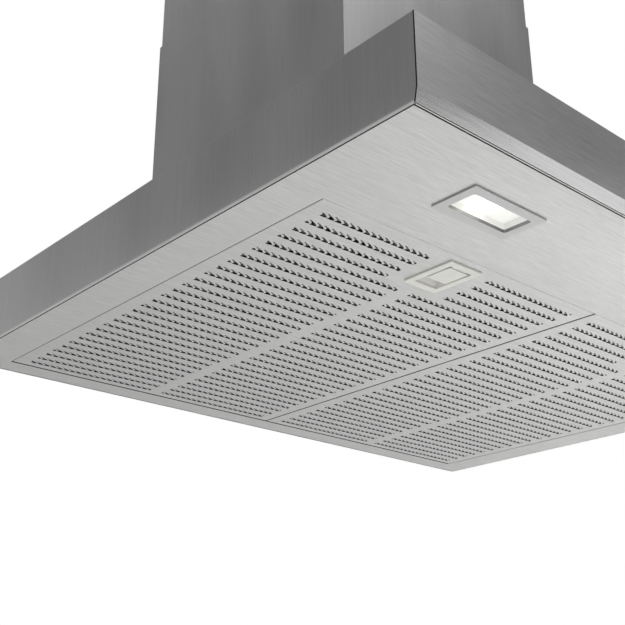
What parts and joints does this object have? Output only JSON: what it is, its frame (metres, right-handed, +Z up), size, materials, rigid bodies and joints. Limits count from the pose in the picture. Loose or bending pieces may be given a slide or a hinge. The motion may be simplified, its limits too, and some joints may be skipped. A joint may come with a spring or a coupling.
{
  "type": "wall mount range hood",
  "caption": "Flat steel canopy hood for the wall over a cooktop, with drop-down perforated filters, lamps, a blower with a duct collar and a telescopic chimney.",
  "frame": {"origin": "middle of the lower edge of the rear sheet, on the wall plane", "axes": "+Y points into the wall, +Z up along the chimney, +X to the right seen from the room"},
  "size_m": [0.6, 0.5025, 0.6361],
  "materials": {
    "brushed_sheet": "brushed stainless steel, the grain running across the hood",
    "filter_sheet": "fine brushed stainless steel, perforated",
    "aluminium_mesh": "layered expanded aluminium mesh",
    "zinc_sheet": "plain galvanised steel sheet",
    "bright_steel": "zinc-plated steel",
    "latch_plastic": "satin light grey plastic",
    "lamp_frame": "satin silver paint",
    "lamp_lens": "frosted diffuser",
    "lamp_source": "light source",
    "white_plastic": "moulded",
    "black_plastic": "moulded",
    "grey_plastic": "moulded",
    "wheel_plastic": "moulded",
    "board": "circuit board",
    "button_metal": "satin metal caps",
    "motor_can": "black lacquer"
  },
  "bodies": {
    "hood": {"canopy_top": "brushed_sheet", "canopy_side_l": "brushed_sheet", "canopy_side_r": "brushed_sheet", "front_panel": "brushed_sheet", "underside_frame": "brushed_sheet", "rear_panel": "zinc_sheet", "lamp_bezel_l": "lamp_frame", "lamp_lens_l": "lamp_lens", "lamp_led_l": "lamp_source", "lamp_cap_l": "white_plastic", "lamp_bezel_r": "lamp_frame", "lamp_lens_r": "lamp_lens", "lamp_led_r": "lamp_source", "lamp_cap_r": "white_plastic", "latch_keepers": "zinc_sheet", "control_box": "black_plastic", "control_board": "board", "blower_box": "zinc_sheet", "scroll_housing": "grey_plastic", "inlet_ring_l": "grey_plastic", "inlet_ring_r": "grey_plastic", "motor": "motor_can", "motor_bracket": "zinc_sheet", "capacitor": "white_plastic", "outlet_collar": "black_plastic", "flap_pin": "bright_steel", "chimney_lower": "brushed_sheet", "sheet_screws": "bright_steel", "hangers": "zinc_sheet", "hanger_screws": "bright_steel", "terminal_box": "black_plastic", "cable_gland": "black_plastic"},
    "filter_l": {"filter_face_l": "filter_sheet", "filter_mesh_l": "aluminium_mesh", "filter_back_l": "aluminium_mesh", "latch_frame_l": "latch_plastic", "latch_pin_l": "bright_steel", "latch_spring_l": "bright_steel"},
    "filter_r": {"filter_face_r": "filter_sheet", "filter_mesh_r": "aluminium_mesh", "filter_back_r": "aluminium_mesh", "latch_frame_r": "latch_plastic", "latch_pin_r": "bright_steel", "latch_spring_r": "bright_steel"},
    "latch_l": {"latch_paddle_l": "latch_plastic"},
    "latch_r": {"latch_paddle_r": "latch_plastic"},
    "rotor": {"wheel": "wheel_plastic", "wheel_plate": "zinc_sheet", "motor_shaft": "bright_steel"},
    "flap_front": {"flap_front": "grey_plastic"},
    "flap_rear": {"flap_rear": "grey_plastic"},
    "chimney_upper": {"chimney_upper": "brushed_sheet", "chimney_bracket": "zinc_sheet", "chimney_screws": "bright_steel"},
    "button_1": {"button_1": "button_metal"},
    "button_2": {"button_2": "button_metal"},
    "button_3": {"button_3": "button_metal"},
    "button_4": {"button_4": "button_metal"},
    "button_5": {"button_5": "button_metal"}
  },
  "joints": [
    {"name": "filter_l_drop", "type": "hinge", "parent": "hood", "child": "filter_l", "pos_m": [-0.13342, -0.0234, 0.0008], "axis": [1, 0, 0], "range_deg": [0, 80]},
    {"name": "latch_l_pull", "type": "hinge", "parent": "filter_l", "child": "latch_l", "pos_m": [-0.13342, -0.3805, 0.0012], "axis": [-1, 0, 0], "range_deg": [0, 40], "stiffness_Nm_per_rad": 0.02},
    {"name": "filter_r_drop", "type": "hinge", "parent": "hood", "child": "filter_r", "pos_m": [0.13342, -0.0234, 0.0008], "axis": [1, 0, 0], "range_deg": [0, 80]},
    {"name": "latch_r_pull", "type": "hinge", "parent": "filter_r", "child": "latch_r", "pos_m": [0.13342, -0.3805, 0.0012], "axis": [-1, 0, 0], "range_deg": [0, 40], "stiffness_Nm_per_rad": 0.02},
    {"name": "button_1_press", "type": "slide", "parent": "hood", "child": "button_1", "axis": [0, 1, 0], "range_m": [0, 0.002], "stiffness_N_per_m": 400},
    {"name": "button_2_press", "type": "slide", "parent": "hood", "child": "button_2", "axis": [0, 1, 0], "range_m": [0, 0.002], "stiffness_N_per_m": 400},
    {"name": "button_3_press", "type": "slide", "parent": "hood", "child": "button_3", "axis": [0, 1, 0], "range_m": [0, 0.002], "stiffness_N_per_m": 400},
    {"name": "button_4_press", "type": "slide", "parent": "hood", "child": "button_4", "axis": [0, 1, 0], "range_m": [0, 0.002], "stiffness_N_per_m": 400},
    {"name": "button_5_press", "type": "slide", "parent": "hood", "child": "button_5", "axis": [0, 1, 0], "range_m": [0, 0.002], "stiffness_N_per_m": 400},
    {"name": "rotor_spin", "type": "hinge", "parent": "hood", "child": "rotor", "pos_m": [0, -0.105, 0.15], "axis": [1, 0, 0], "continuous": true},
    {"name": "flap_front_open", "type": "hinge", "parent": "hood", "child": "flap_front", "pos_m": [0, -0.163, 0.2625], "axis": [-1, 0, 0], "range_deg": [0, 75]},
    {"name": "flap_rear_open", "type": "hinge", "parent": "hood", "child": "flap_rear", "pos_m": [0, -0.163, 0.2625], "axis": [1, 0, 0], "range_deg": [0, 75]},
    {"name": "chimney_extend", "type": "slide", "parent": "hood", "child": "chimney_upper", "axis": [0, 0, 1], "range_m": [0, 0.28]}
  ]
}
